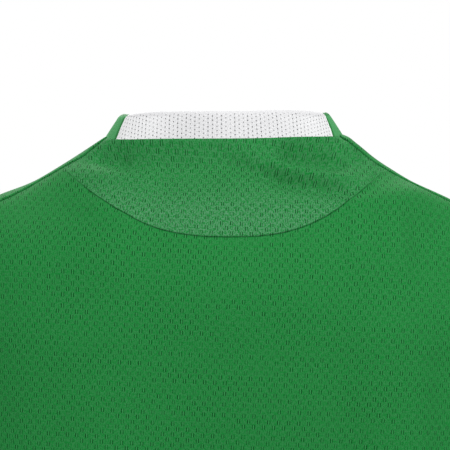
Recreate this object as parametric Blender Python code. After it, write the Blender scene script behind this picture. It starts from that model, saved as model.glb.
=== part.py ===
"""A short-sleeved football jersey, filled out as on a wearer, piece by cut piece.

Metres, +Z up, the front faces -Y and the wearer's left is +X. The origin is where the wearer
holds it up: in the middle of the neck opening, level with the back neckline.

The torso is one surface with two angles. The turn goes round the body: 0 in the middle, 90
degrees at the side seam. The roll goes over the shoulder: 0 on the crest, positive down the
back, negative down the front. Every panel is a grid of rows between its seams on that surface.
"""

import math

import bpy
import numpy as np
from mathutils import Vector
from mathutils.kdtree import KDTree

# Cloth, in metres
WALL = 0.0018
COLLAR_WALL = 0.0026
SEAM_GAP = 0.0003

# Torso: levels where the cap of the shoulders ends, below which the cloth hangs upright
CHEST_LEVEL = {1: -0.170, -1: -0.200}
SHOULDER_LEVEL = -0.062
UNDERARM_LEVEL = -0.270
HEM_LEVEL = -0.735
PLAN_POWER = 2.5
SECTIONS = [
    # level, half width, back depth, front depth
    (-0.735, 0.222, 0.118, 0.124),
    (-0.600, 0.216, 0.118, 0.124),
    (-0.450, 0.211, 0.121, 0.124),
    (-0.270, 0.215, 0.131, 0.132),
    (-0.170, 0.222, 0.135, 0.135),
    (-0.062, 0.240, 0.135, 0.135),
]
CREST = [
    # distance from the middle, height of the shoulder, radius of its bend
    (0.0000, 0.0350, 0.089),
    (0.0500, 0.0265, 0.075),
    (0.0925, 0.0060, 0.060),
    (0.1250, -0.0158, 0.050),
    (0.1500, -0.0308, 0.047),
    (0.1760, -0.0412, 0.045),
    (0.2100, -0.0560, 0.043),
    (0.2400, -0.0720, 0.040),
]

# Rolls, in degrees
UNDERARM_ROLL = 130.0
HEM_ROLL = 220.0
SEAM_ROLL = [
    # distance from the middle, roll of the shoulder seam behind the crest
    (0.0925, 0.0),
    (0.1050, 10.0),
    (0.1200, 14.0),
    (0.2400, 14.0),
]

# Seams
NECK_HALF_WIDTH = 0.0925
NECK_BACK_ROLL = 35.8
NECK_FRONT_ROLL = 58.5
NECK_POWER = {1: 0.78, -1: 0.50}
YOKE_HALF_WIDTH = 0.1275
YOKE_LEVEL = -0.084
YOKE_POWER = 2.5
SHOULDER_HALF_WIDTH = 0.225
ARMHOLE_POWER = 0.42
BACK_MIDDLE_ROLL = 84.0
FRONT_MIDDLE_ROLLS = (-68.0, -82.0)
UNDERARM_DIP = 4.0

# Collar band: width, lean towards the neck at back, side and front, in degrees
COLLAR_WIDTH = 0.0248
COLLAR_LEAN = {"back": 25.0, "side": 40.0, "front": 30.0}
COLLAR_ROWS = 3
COLLAR_SEAM_COLUMN = 4

# Sleeve: the cuff ring, the falls in degrees with which the cloth leaves the armhole and reaches
# the cuff, the seam's place round the sleeve, and where its folds are at full height
CUFF_CENTRE = (0.318, 0.000, -0.305)
CUFF_RADIUS = 0.0605
CUFF_SLANT = 45.0
SLEEVE_FALL = 54.0
CAP_FALL = 26.0
UNDERARM_FALL = 12.0
SLEEVE_ROWS = 8
SEAM_PLACE = 0.04
SLEEVE_FOLD_START = 0.7

# Lengths that count as nothing, the steps a curve is measured in, and the passes that settle a seam
SAME_POINT = 1e-5
MEASURED_STEPS = 400
SEAM_PASSES = 4

# Wall corners: the least sine between a wall and its rim, the longest mitre in walls, and the
# share of the largest direction below which normals count as the same
LEAST_SINE = 0.4
LONGEST_MITRE = 2.0
SAME_NORMAL = 0.25
SHARP_EDGE = 50.0

# Grid counts
COLUMNS = 36
YOKE_ROWS = 6
SHOULDER_ROWS = 5
ARMHOLE_ROWS = 12
SIDE_ROWS = 15

FOLDS = [
    # side, from x, from z, to x, to z, half breadth, height (negative is a trough)
    (1, 0.092, -0.012, 0.062, -0.017, 0.011, -0.0030),
    (1, 0.058, -0.012, -0.020, -0.014, 0.010, -0.0012),
    (1, -0.020, -0.014, -0.086, -0.038, 0.010, -0.0032),
    (1, -0.030, -0.007, -0.120, -0.026, 0.009, 0.0022),
    (1, -0.050, -0.012, -0.092, -0.010, 0.008, -0.0022),
    (1, 0.098, -0.040, 0.050, -0.062, 0.016, 0.0018),
    (1, -0.086, -0.120, -0.096, -0.400, 0.016, -0.0040),
    (1, -0.128, -0.110, -0.140, -0.360, 0.020, 0.0036),
    (1, -0.168, -0.130, -0.165, -0.330, 0.014, -0.0036),
    (1, 0.110, -0.150, 0.100, -0.420, 0.022, 0.0030),
    (1, 0.150, -0.140, 0.146, -0.380, 0.016, -0.0036),
    (1, 0.030, -0.300, 0.040, -0.900, 0.030, -0.0060),
    (1, -0.045, -0.360, -0.060, -0.900, 0.034, 0.0070),
    (1, -0.125, -0.420, -0.115, -0.900, 0.028, -0.0070),
    (1, 0.100, -0.480, 0.118, -0.900, 0.030, 0.0070),
    (1, 0.190, -0.270, 0.120, -0.420, 0.030, -0.0060),
    (1, -0.190, -0.270, -0.130, -0.440, 0.030, -0.0060),
    (-1, 0.060, -0.250, 0.050, -0.900, 0.032, 0.0075),
    (-1, -0.020, -0.320, -0.015, -0.900, 0.030, -0.0075),
    (-1, -0.085, -0.380, -0.090, -0.900, 0.026, 0.0065),
    (-1, 0.130, -0.400, 0.125, -0.900, 0.026, -0.0065),
    (-1, -0.150, -0.460, -0.150, -0.900, 0.026, -0.0055),
    (-1, 0.185, -0.262, 0.085, -0.380, 0.030, -0.0070),
    (-1, -0.187, -0.262, -0.100, -0.365, 0.030, -0.0065),
    (-1, 0.110, -0.110, 0.040, -0.200, 0.026, -0.0040),
    (-1, -0.112, -0.110, -0.050, -0.215, 0.026, -0.0040),
    (-1, 0.180, -0.120, 0.160, -0.240, 0.018, -0.0045),
    (-1, -0.180, -0.120, -0.163, -0.250, 0.018, -0.0045),
]
SIDE_FADE = 0.045
FOLD_FADE = 0.3
FOLD_END = 0.25

SLEEVE_FOLDS = [
    # place round the sleeve (0 at the top, 0.5 underneath), half breadth, height at the cuff
    (0.16, 0.060, -0.0050),
    (0.30, 0.060, 0.0045),
    (0.42, 0.050, -0.0050),
    (0.63, 0.060, -0.0045),
    (0.74, 0.060, 0.0050),
    (0.88, 0.060, -0.0040),
]


def smooth(table, column, at):
    """A smooth curve through one column of a table, at given values of its first column."""
    keys = np.array([row[0] for row in table])
    values = np.array([row[column] for row in table])
    slopes = np.gradient(values, keys)
    at = np.clip(at, keys[0], keys[-1])
    left = np.clip(np.searchsorted(keys, at) - 1, 0, len(keys) - 2)
    step = keys[left + 1] - keys[left]
    part = (at - keys[left]) / step
    square = part * part
    cube = square * part
    return (
        values[left] * (2 * cube - 3 * square + 1)
        + slopes[left] * step * (cube - 2 * square + part)
        + values[left + 1] * (3 * square - 2 * cube)
        + slopes[left + 1] * step * (cube - square)
    )


def level_of(roll, side):
    """Height of the nominal torso at a roll, with the shoulders taken as level."""
    chest = np.where(side > 0, CHEST_LEVEL[1], CHEST_LEVEL[-1])
    size = np.abs(roll)
    underarm = math.radians(UNDERARM_ROLL)
    hem = math.radians(HEM_ROLL)
    quarter = math.pi / 2
    cap = chest + (SHOULDER_LEVEL - chest) * np.cos(np.minimum(size, quarter))
    chest_part = np.clip((size - quarter) / (underarm - quarter), 0, 1)
    body_part = np.maximum((size - underarm) / (hem - underarm), 0)
    below = chest + (UNDERARM_LEVEL - chest) * chest_part
    below = below + (HEM_LEVEL - UNDERARM_LEVEL) * body_part
    return np.where(size < quarter, cap, below), chest


def plain_torso(turn, roll):
    """Points of the torso without its folds."""
    turn, roll = np.broadcast_arrays(np.asarray(turn, float), np.asarray(roll, float))
    side = np.where(roll >= 0, 1.0, -1.0)
    level, chest = level_of(roll, side)
    rolled = np.minimum(np.abs(roll), math.pi / 2)
    up = np.cos(rolled)
    out = np.sin(rolled)
    across = np.sin(turn)
    x = smooth(SECTIONS, 1, level) * across
    reach = np.where(side > 0, smooth(SECTIONS, 2, level), smooth(SECTIONS, 3, level))
    reach = reach * (1 - np.abs(across) ** PLAN_POWER) ** (1 / PLAN_POWER)
    rise = smooth(CREST, 1, np.abs(x)) - chest
    crest_reach = np.sqrt(smooth(CREST, 2, np.abs(x)) * rise)
    y = side * out * (reach * out * out + crest_reach * up * up)
    z = np.where(np.abs(roll) < math.pi / 2, chest + rise * up, level)
    return np.stack([x, y, z], axis=-1)


def torso_normal(turn, roll):
    """Outward directions of the plain torso, from two small steps on it."""
    small = 1e-3
    inward = np.where(turn < 0, -small, small)
    here = plain_torso(turn, roll)
    round_body = (here - plain_torso(turn - inward, roll)) / inward[..., None]
    down = plain_torso(turn, roll + small) - plain_torso(turn, roll - small)
    normal = np.cross(round_body, down)
    normal /= np.linalg.norm(normal, axis=-1, keepdims=True)
    return normal


def ease(value):
    """A soft step from 0 to 1."""
    value = np.clip(value, 0, 1)
    return value * value * (3 - 2 * value)


def fold_height(points):
    """How far the folds lift the cloth at points of the torso."""
    x, y, z = points[..., 0], points[..., 1], points[..., 2]
    height = np.zeros_like(x)
    for side, x_from, z_from, x_to, z_to, breadth, rise in FOLDS:
        along_x = x_to - x_from
        along_z = z_to - z_from
        length = along_x * along_x + along_z * along_z
        part = ((x - x_from) * along_x + (z - z_from) * along_z) / length
        held = np.clip(part, 0, 1)
        away_x = x - x_from - held * along_x
        away_z = z - z_from - held * along_z
        bell = np.exp(-(away_x * away_x + away_z * away_z) / (breadth * breadth))
        taper = ease(part / FOLD_FADE) * ease((1 - part) / FOLD_FADE)
        taper = FOLD_END + (1 - FOLD_END) * taper
        height += rise * bell * taper * ease(side * y / SIDE_FADE)
    return height


def torso(turn, roll):
    """Points of the torso with its folds."""
    points = plain_torso(turn, roll)
    normal = torso_normal(*np.broadcast_arrays(np.asarray(turn, float), np.asarray(roll, float)))
    return points + normal * fold_height(points)[..., None]


def armhole_turn(roll):
    """Turn of the armhole seam at a roll: the side of the body at the underarm."""
    top = 1 - (SHOULDER_HALF_WIDTH / SECTIONS[-1][1]) ** PLAN_POWER
    opening = np.cos(math.pi / 2 * np.abs(roll) / math.radians(UNDERARM_ROLL))
    share = top * np.maximum(opening, 0) ** (ARMHOLE_POWER * PLAN_POWER)
    return np.arcsin((1 - share) ** (1 / PLAN_POWER))


def turn_at(distance):
    """Turn at a distance from the middle, at shoulder level."""
    return np.arcsin(distance / SECTIONS[-1][1])


def seam_roll(distance):
    """Roll of the shoulder seam at a distance from the middle."""
    return np.radians(smooth(SEAM_ROLL, 1, distance))


def even_steps(curve, count, start, end):
    """Values from start to end that cut a curve on the torso into equal lengths."""
    fine = np.linspace(start, end, MEASURED_STEPS)
    points = plain_torso(*curve(fine))
    steps = np.linalg.norm(np.diff(points, axis=0), axis=1)
    run = np.concatenate([[0], np.cumsum(steps)])
    return np.interp(np.linspace(0, run[-1], count + 1), run, fine)


def shoulder_line(x_from, x_to, count):
    """Turns and rolls along the shoulder seam."""
    x = np.linspace(x_from, x_to, count + 1)
    return turn_at(x), seam_roll(x)


def armhole_line(roll_from, roll_to):
    """Turns and rolls down an armhole, from the shoulder seam to the underarm."""
    rolls = even_steps(lambda r: (armhole_turn(r), r), ARMHOLE_ROWS, roll_from, roll_to)
    turns = armhole_turn(rolls)
    turns[0] = turn_at(SHOULDER_HALF_WIDTH)
    turns[-1] = math.pi / 2
    return turns, rolls


def side_line(side):
    """Turns and rolls down a side seam, from the underarm to the hem."""
    rolls = side * np.radians(np.linspace(UNDERARM_ROLL, HEM_ROLL, SIDE_ROWS + 1))
    return np.full(SIDE_ROWS + 1, math.pi / 2), rolls


def joined(*lines):
    """Several lines end to end, with each shared end kept once."""
    turns = np.concatenate([lines[0][0]] + [line[0][1:] for line in lines[1:]])
    rolls = np.concatenate([lines[0][1]] + [line[1][1:] for line in lines[1:]])
    return turns, rolls


def neck_curve(side, angle):
    """Turns and rolls of the neckline at angles round the neck, 0 at the wearer's left."""
    deepest = NECK_BACK_ROLL if side > 0 else NECK_FRONT_ROLL
    drop = np.maximum(np.sin(angle), 0) ** NECK_POWER[side]
    rolls = side * np.arcsin(math.sin(math.radians(deepest)) * drop)
    level, _ = level_of(rolls, np.full_like(rolls, side))
    turns = np.arcsin(NECK_HALF_WIDTH * np.cos(angle) / smooth(SECTIONS, 1, level))
    return turns, rolls


def neck_angles(side):
    """Angles of the neckline's columns: even turns at the back, even lengths at the front."""
    if side > 0:
        return np.radians(np.linspace(0, 180, COLUMNS + 1))
    return even_steps(lambda angle: neck_curve(side, angle), COLUMNS, 0, math.pi)


def neckline(side):
    """Turns and rolls of the neckline across the back or the front, wearer's left to right."""
    return neck_curve(side, neck_angles(side))


def half_moon():
    """Turns and rolls of the yoke's lower seam, wearer's left to right."""
    end_turn = turn_at(YOKE_HALF_WIDTH)
    end_roll = seam_roll(YOKE_HALF_WIDTH)
    end_level = plain_torso(end_turn, end_roll)[2]
    chest = CHEST_LEVEL[1]
    across = np.linspace(1, -1, COLUMNS + 1)
    turns = end_turn * across
    x = YOKE_HALF_WIDTH * np.abs(np.sin(turns) / math.sin(end_turn))
    level = YOKE_LEVEL + (end_level - YOKE_LEVEL) * (x / YOKE_HALF_WIDTH) ** YOKE_POWER
    for _ in range(SEAM_PASSES):
        rolls = np.arccos(np.clip((level - chest) / (smooth(CREST, 1, x) - chest), 0, 1))
        x = np.abs(plain_torso(turns, rolls)[:, 0])
    rolls[0] = end_roll
    rolls[-1] = end_roll
    return turns, rolls


def panel(top, bottom, edge, middle_rolls):
    """Rows of a panel between its top and bottom lines, its side edge and its middle."""
    rows = len(edge[0])
    across = np.linspace(1, -1, COLUMNS + 1)
    shapes = []
    for turns, rolls in (top, bottom):
        spread = rolls[COLUMNS // 2] - rolls[0]
        dip = (rolls - rolls[0]) / spread if abs(spread) > SAME_POINT else 1 - across**2
        shapes.append((turns / turns[0], dip))
    down = np.linspace(0, 1, rows)[:, None]
    width = (1 - down) * shapes[0][0] + down * shapes[1][0]
    dip = (1 - down) * shapes[0][1] + down * shapes[1][1]
    turns = edge[0][:, None] * width
    rolls = edge[1][:, None] + (middle_rolls - edge[1])[:, None] * dip
    return torso(turns, rolls)


def middle_line(counts, rolls):
    """Rolls down the middle of a panel, in degrees, at the ends of its stretches of rows."""
    ends = np.concatenate([[0], np.cumsum(counts)])
    table = list(zip(ends, rolls))
    return np.radians(smooth(table, 1, np.arange(ends[-1] + 1)))


def flat_line(side):
    """Turns and rolls of the hem, wearer's left to right."""
    across = np.linspace(1, -1, COLUMNS + 1)
    roll = side * math.radians(HEM_ROLL)
    return across * math.pi / 2, np.full(COLUMNS + 1, roll)


def torso_panels():
    """The back, the yoke and the front, as grids of outer points."""
    seam_end = seam_roll(SHOULDER_HALF_WIDTH)
    inner = shoulder_line(NECK_HALF_WIDTH, YOKE_HALF_WIDTH, YOKE_ROWS)
    outer = shoulder_line(YOKE_HALF_WIDTH, SHOULDER_HALF_WIDTH, SHOULDER_ROWS)
    moon = half_moon()
    back_neck = neckline(1)
    front_neck = neckline(-1)
    back_edge = joined(outer, armhole_line(seam_end, math.radians(UNDERARM_ROLL)), side_line(1))
    front_arm = armhole_line(seam_end, -math.radians(UNDERARM_ROLL))
    front_edge = joined(inner, outer, front_arm, side_line(-1))
    moon_middle = math.degrees(moon[1][COLUMNS // 2])
    yoke_middle = middle_line([YOKE_ROWS], [NECK_BACK_ROLL, moon_middle])
    back_middle = middle_line(
        [SHOULDER_ROWS, ARMHOLE_ROWS, SIDE_ROWS],
        [moon_middle, BACK_MIDDLE_ROLL, UNDERARM_ROLL + UNDERARM_DIP, HEM_ROLL],
    )
    front_middle = middle_line(
        [YOKE_ROWS, SHOULDER_ROWS, ARMHOLE_ROWS, SIDE_ROWS],
        [-NECK_FRONT_ROLL, *FRONT_MIDDLE_ROLLS, -UNDERARM_ROLL - UNDERARM_DIP, -HEM_ROLL],
    )
    return {
        "back_panel": panel(moon, flat_line(1), back_edge, back_middle),
        "back_yoke": panel(back_neck, moon, inner, yoke_middle),
        "front_panel": panel(front_neck, flat_line(-1), front_edge, front_middle)[:, ::-1],
    }


def sleeve(side):
    """A sleeve as rings of outer points, from the armhole to the cuff."""
    seam_end = seam_roll(SHOULDER_HALF_WIDTH)
    back = armhole_line(seam_end, math.radians(UNDERARM_ROLL))
    front = armhole_line(seam_end, -math.radians(UNDERARM_ROLL))
    back_points = torso(side * back[0], back[1])
    front_points = torso(side * front[0], front[1])
    start = np.concatenate([back_points[:-1], front_points[:0:-1]])
    steps = np.linalg.norm(np.diff(np.concatenate([start, start[:1]]), axis=0), axis=1)
    run = np.concatenate([[0], np.cumsum(steps)])
    place = run[:-1] / run[-1] + SEAM_PLACE
    angle = 2 * math.pi * place
    slant = math.radians(CUFF_SLANT)
    top = np.array([math.cos(slant), 0, math.sin(slant)])
    cuff = np.array(CUFF_CENTRE) + CUFF_RADIUS * (
        np.cos(angle)[:, None] * top + np.sin(angle)[:, None] * np.array([0, 1, 0])
    )
    high = (1 + np.cos(angle)) / 2
    fall = np.radians(UNDERARM_FALL + (CAP_FALL - UNDERARM_FALL) * high)
    leave = np.stack([np.cos(fall), np.zeros_like(fall), -np.sin(fall)], axis=-1)
    reach_fall = math.radians(SLEEVE_FALL)
    arrive = np.array([math.cos(reach_fall), 0, -math.sin(reach_fall)])
    mirror = np.array([side, 1, 1])
    cuff = cuff * mirror
    leave = leave * mirror
    arrive = arrive * mirror
    length = np.linalg.norm(cuff - start, axis=1)[:, None]
    rings = []
    for row in range(SLEEVE_ROWS + 1):
        part = row / SLEEVE_ROWS
        square = part * part
        cube = square * part
        rings.append(
            start * (2 * cube - 3 * square + 1)
            + leave * length * (cube - 2 * square + part)
            + cuff * (3 * square - 2 * cube)
            + arrive * length * (cube - square)
        )
    rings = np.array(rings)
    centre = rings.mean(axis=1, keepdims=True)
    out = rings - centre
    out /= np.linalg.norm(out, axis=2, keepdims=True)
    down = np.linspace(0, 1, SLEEVE_ROWS + 1)[:, None]
    lift = np.zeros_like(place)
    for where, breadth, height in SLEEVE_FOLDS:
        away = (place - where + 0.5) % 1 - 0.5
        lift = lift + height * np.exp(-(away / breadth) ** 2)
    rings = rings + out * (lift[None, :] * ease(down / SLEEVE_FOLD_START))[..., None]
    return rings if side > 0 else rings[:, ::-1]


def collar_ring():
    """Neckline points all round, from the wearer's left over the back, and the band's direction."""
    back = torso(*neckline(1))
    front = torso(*neckline(-1))
    base = np.concatenate([back[:-1], front[:0:-1]])
    angle = np.concatenate([neck_angles(1)[:-1], 2 * math.pi - neck_angles(-1)[:0:-1]])
    along = np.roll(base, -1, axis=0) - np.roll(base, 1, axis=0)
    along /= np.linalg.norm(along, axis=1, keepdims=True)
    side_share = np.cos(angle) ** 2
    end = np.where(np.sin(angle) >= 0, COLLAR_LEAN["back"], COLLAR_LEAN["front"])
    lean = np.radians(end + (COLLAR_LEAN["side"] - end) * side_share)
    inward = np.stack([-np.cos(angle), -np.sin(angle), np.zeros_like(angle)], axis=-1)
    up = inward * np.sin(lean)[:, None] + np.array([0, 0, 1]) * np.cos(lean)[:, None]
    up -= along * np.sum(up * along, axis=1, keepdims=True)
    up /= np.linalg.norm(up, axis=1, keepdims=True)
    return base, up


def collar_parts():
    """The white back length and the green front length of the collar band."""
    base, up = collar_ring()
    rows = [base + up * COLLAR_WIDTH * row / COLLAR_ROWS for row in range(COLLAR_ROWS + 1)]
    band = np.array(rows)[::-1]
    first = COLLAR_SEAM_COLUMN
    last = COLUMNS - COLLAR_SEAM_COLUMN
    around = np.arange(last, last + 2 * COLUMNS - (last - first) + 1) % (2 * COLUMNS)
    return {
        "collar_back": band[:, first:last + 1],
        "collar_front": band[:, around],
    }


def grid_normals(points, closed):
    """Outward directions at a grid's points, from the piece's own faces."""
    across = np.gradient(points, axis=1)
    if closed:
        across = (np.roll(points, -1, axis=1) - np.roll(points, 1, axis=1)) / 2
    down = np.gradient(points, axis=0)
    normal = np.cross(down, across)
    return normal / np.linalg.norm(normal, axis=2, keepdims=True)


def inner_offsets(grids, normals, walls):
    """Steps from outer to inner points, shared where pieces meet so that their walls mitre."""
    owners = []
    for name, grid in grids.items():
        for row in range(grid.shape[0]):
            for column in range(grid.shape[1]):
                owners.append((name, row, column))
    tree = KDTree(len(owners))
    for index, (name, row, column) in enumerate(owners):
        tree.insert(Vector(grids[name][row, column]), index)
    tree.balance()
    offsets = {name: np.zeros_like(grid) for name, grid in grids.items()}
    for name, row, column in owners:
        found = tree.find_range(Vector(grids[name][row, column]), SAME_POINT)
        meeting = np.array([normals[owners[i][0]][owners[i][1], owners[i][2]] for _, i, _ in found])
        depth = min(walls[owners[i][0]] for _, i, _ in found)
        step = np.linalg.lstsq(meeting, np.full(len(found), -depth), rcond=SAME_NORMAL)[0]
        size = np.linalg.norm(step)
        step *= min(1, LONGEST_MITRE * depth / size)
        offsets[name][row, column] = step
    return offsets


def rim_loops(rows, columns, closed):
    """A grid's edges as loops of places that run with the cloth on their right."""
    top = [(0, column) for column in range(columns)]
    bottom = [(rows - 1, column) for column in range(columns - 1, -1, -1)]
    if closed:
        return [top, bottom]
    left = [(row, columns - 1) for row in range(1, rows - 1)]
    right = [(row, 0) for row in range(rows - 2, 0, -1)]
    return [top + left + bottom + right]


def inset_edges(outer, inner, normals, closed):
    """Both skins drawn in from the seams by half the seam's gap."""
    drawn = [outer.copy(), inner.copy()]
    for loop in rim_loops(*outer.shape[:2], closed):
        at = tuple(np.array(loop).T)
        rim = inner[at] - outer[at]
        rim /= np.linalg.norm(rim, axis=1, keepdims=True)
        normal = normals[at]
        for skin, moved in zip((outer, inner), drawn):
            ahead = np.roll(skin[at], -1, axis=0) - skin[at]
            ahead /= np.linalg.norm(ahead, axis=1, keepdims=True)
            after = np.cross(ahead, normal)
            before = np.roll(np.cross(ahead, np.roll(normal, -1, axis=0)), 1, axis=0)
            for place, *ways, out, wall_way in zip(loop, before, after, normal, rim):
                sines = [np.linalg.norm(np.cross(way, wall_way)) for way in ways]
                gaps = [SEAM_GAP / 2 / max(sine, LEAST_SINE) for sine in sines]
                step = np.linalg.lstsq(np.array([*ways, out]), np.array([*gaps, 0]), rcond=SAME_NORMAL)[0]
                moved[place] += step
    return drawn


def cloth(name, colour, roughness):
    """A plain cloth finish."""
    material = bpy.data.materials.new(name)
    material.use_nodes = True
    shader = material.node_tree.nodes["Principled BSDF"]
    shader.inputs["Base Color"].default_value = (*colour, 1)
    shader.inputs["Roughness"].default_value = roughness
    shader.inputs["Metallic"].default_value = 0
    return material


def cut_square(points, ring):
    """Two triangles from four corners, cut along the shorter diagonal."""
    first_cut = np.linalg.norm(points[ring[0]] - points[ring[2]])
    second_cut = np.linalg.norm(points[ring[1]] - points[ring[3]])
    if second_cut < first_cut:
        ring = ring[1:] + ring[:1]
    return [(ring[0], ring[1], ring[2]), (ring[0], ring[2], ring[3])]


def wall(name, outer, inner, closed, material):
    """One closed cloth wall from its outer and inner grids."""
    rows, columns = outer.shape[:2]
    count = rows * columns
    points = np.concatenate([outer.reshape(-1, 3), inner.reshape(-1, 3)])
    spans = columns if closed else columns - 1
    faces = []
    for row in range(rows - 1):
        for column in range(spans):
            ahead = (column + 1) % columns
            places = [(row, column), (row + 1, column), (row + 1, ahead), (row, ahead)]
            for corners in cut_square(points, [line * columns + place for line, place in places]):
                faces.append(corners)
                faces.append(tuple(count + corner for corner in reversed(corners)))
    for loop in rim_loops(rows, columns, closed):
        line = [row * columns + column for row, column in loop]
        for first, second in zip(line, line[1:] + line[:1]):
            faces += cut_square(points, [first, second, count + second, count + first])
    mesh = bpy.data.meshes.new(name)
    mesh.from_pydata(points.tolist(), [], faces)
    mesh.materials.append(material)
    mesh.shade_smooth()
    mesh.set_sharp_from_angle(angle=math.radians(SHARP_EDGE))
    piece = bpy.data.objects.new(name, mesh)
    bpy.context.scene.collection.objects.link(piece)
    return piece


for old in list(bpy.data.objects):
    bpy.data.objects.remove(old)

FINISHES = {
    # node: colour, roughness, wall
    "back_panel": ((0.026, 0.200, 0.058), 0.75, WALL),
    "back_yoke": ((0.030, 0.215, 0.066), 0.75, WALL),
    "front_panel": ((0.026, 0.200, 0.058), 0.75, WALL),
    "sleeve_left": ((0.026, 0.200, 0.058), 0.75, WALL),
    "sleeve_right": ((0.026, 0.200, 0.058), 0.75, WALL),
    "collar_back": ((0.80, 0.82, 0.83), 0.80, COLLAR_WALL),
    "collar_front": ((0.085, 0.370, 0.130), 0.65, COLLAR_WALL),
}

pieces = torso_panels()
pieces["sleeve_left"] = sleeve(1)
pieces["sleeve_right"] = sleeve(-1)
pieces.update(collar_parts())
tubes = {"sleeve_left", "sleeve_right"}
outward = {name: grid_normals(grid, name in tubes) for name, grid in pieces.items()}
walls = {name: finish[2] for name, finish in FINISHES.items()}
steps = inner_offsets(pieces, outward, walls)
for name, grid in pieces.items():
    colour, roughness, _ = FINISHES[name]
    skins = inset_edges(grid, grid + steps[name], outward[name], name in tubes)
    wall(name, *skins, name in tubes, cloth(name, colour, roughness))
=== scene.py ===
"""The looks of a short-sleeved football jersey, filled out as on a wearer.

Metres, +Z up. The front faces -Y and the wearer's left is +X. The photographed side is the back.
"""

import math

import bpy
import numpy as np
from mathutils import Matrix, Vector


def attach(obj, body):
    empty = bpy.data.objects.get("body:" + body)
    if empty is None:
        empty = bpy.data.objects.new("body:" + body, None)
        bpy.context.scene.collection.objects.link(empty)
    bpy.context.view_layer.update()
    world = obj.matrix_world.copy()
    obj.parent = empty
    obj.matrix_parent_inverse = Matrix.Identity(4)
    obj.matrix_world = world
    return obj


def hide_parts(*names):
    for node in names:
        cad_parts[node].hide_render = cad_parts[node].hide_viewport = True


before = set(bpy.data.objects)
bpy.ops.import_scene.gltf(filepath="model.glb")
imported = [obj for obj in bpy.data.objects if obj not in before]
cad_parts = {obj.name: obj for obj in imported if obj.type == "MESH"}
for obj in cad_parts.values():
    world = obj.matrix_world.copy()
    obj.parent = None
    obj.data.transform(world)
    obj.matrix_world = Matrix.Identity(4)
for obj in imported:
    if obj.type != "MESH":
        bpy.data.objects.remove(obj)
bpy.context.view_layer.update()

# The camera stands behind the wearer, a little below the neck, and looks slightly up at the
# collar. A long lens frames about a third of a metre of the back.
CAMERA_PLACE = (0.0, 3.0486, -0.3311)
CAMERA_TARGET = (0.0, 0.0600, -0.0696)
CAMERA_LENS = 312.3
SENSOR_WIDTH = 36.0


def aimed(name, data, place, target):
    """A camera or lamp at a place, turned towards a target."""
    held = bpy.data.objects.new(name, data)
    held.location = place
    held.rotation_mode = "QUATERNION"
    held.rotation_quaternion = (Vector(target) - Vector(place)).to_track_quat("-Z", "Y")
    bpy.context.scene.collection.objects.link(held)
    return held


lens = bpy.data.cameras.new("camera")
lens.lens = CAMERA_LENS
lens.sensor_width = SENSOR_WIDTH
bpy.context.scene.camera = aimed("camera", lens, CAMERA_PLACE, CAMERA_TARGET)

# Back panel: one width of green eyelet mesh from the half-moon seam to the hem. It is sewn to the
# yoke, the front and the sleeves with the edges turned in, and its hem is turned up and sewn with
# two needles. The torso's form, which the yoke and the front share, is set out here.
FINE = 6
COLUMNS = 33 * FINE
SHOULDER_ROWS = 5 * FINE
ARMHOLE_ROWS = 12 * FINE
SIDE_ROWS = 12 * FINE
MEASURED_STEPS = 2400
SEAM_PASSES = 4
SAME_POINT = 1e-5
SMALL_ANGLE = 1e-3

# A side of 1 is the wearer's left and -1 the right. A face of 1 is the back and -1 the front. The
# roll is 0 on the crest of the shoulder and a quarter turn at the chest's level, and is below 0 at
# the front. The turn is 0 in the middle and a quarter turn at the side of the body.
SIDES = (1, -1)
CHEST_LEVEL = {1: -0.170, -1: -0.200}
SHOULDER_LEVEL = -0.062
UNDERARM_LEVEL = -0.270
HEM_LEVEL = -0.735
PLAN_POWER = 2.5
SECTIONS = [
    # level, half width, back depth, front depth
    (-0.735, 0.222, 0.118, 0.124),
    (-0.600, 0.216, 0.118, 0.124),
    (-0.450, 0.211, 0.121, 0.124),
    (-0.270, 0.215, 0.131, 0.132),
    (-0.170, 0.222, 0.135, 0.135),
    (-0.062, 0.240, 0.135, 0.135),
]
CREST = [
    # distance from the middle, height of the shoulder, radius of its bend
    (-0.0500, 0.0265, 0.075),
    (0.0000, 0.0350, 0.089),
    (0.0500, 0.0265, 0.075),
    (0.0925, 0.0060, 0.060),
    (0.1250, -0.0154, 0.050),
    (0.1500, -0.0301, 0.047),
    (0.1760, -0.0403, 0.045),
    (0.2100, -0.0550, 0.043),
    (0.2400, -0.0720, 0.040),
]
RIGHT_DROOP = [
    # distance from the middle, how far the wearer's right shoulder lies below the left
    (0.0000, 0.0000),
    (0.0700, 0.0000),
    (0.0820, 0.0000),
    (0.0900, -0.0003),
    (0.0970, -0.0022),
    (0.1040, -0.0010),
    (0.1130, 0.0008),
    (0.1350, 0.0019),
    (0.1600, 0.0022),
    (0.1750, 0.0036),
    (0.2400, 0.0046),
]
UNDERARM_ROLL = math.radians(130.0)
HEM_ROLL = math.radians(220.0)
SEAM_ROLL = {
    # side: distance from the middle, degrees of the shoulder seam behind the crest
    1: [
        (0.0924, 10.8), (0.1100, 13.2), (0.1300, 12.6),
        (0.1450, 12.5), (0.1700, 18.6), (0.2400, 17.0),
    ],
    -1: [
        (0.0897, 12.5), (0.0980, 16.0), (0.1080, 14.8), (0.1200, 14.6),
        (0.1450, 13.0), (0.1700, 14.2), (0.2400, 13.0),
    ],
}
NECK_HALF_WIDTH = {1: 0.0938, -1: 0.0925}
NECK_BACK_ROLL = math.radians(36.05)
NECK_FRONT_ROLL = math.radians(58.5)
YOKE_LEVEL = -0.084
YOKE_ENDS = {
    # side: distance of the half moon's end from the middle, power of its rise
    1: (0.1275, 2.5),
    -1: (0.1258, 2.75),
}
SHOULDER_HALF_WIDTH = 0.225
ARMHOLE_POWER = 0.42
BACK_MIDDLE_ROLL = math.radians(84.0)
UNDERARM_DIP = math.radians(4.0)

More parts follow.
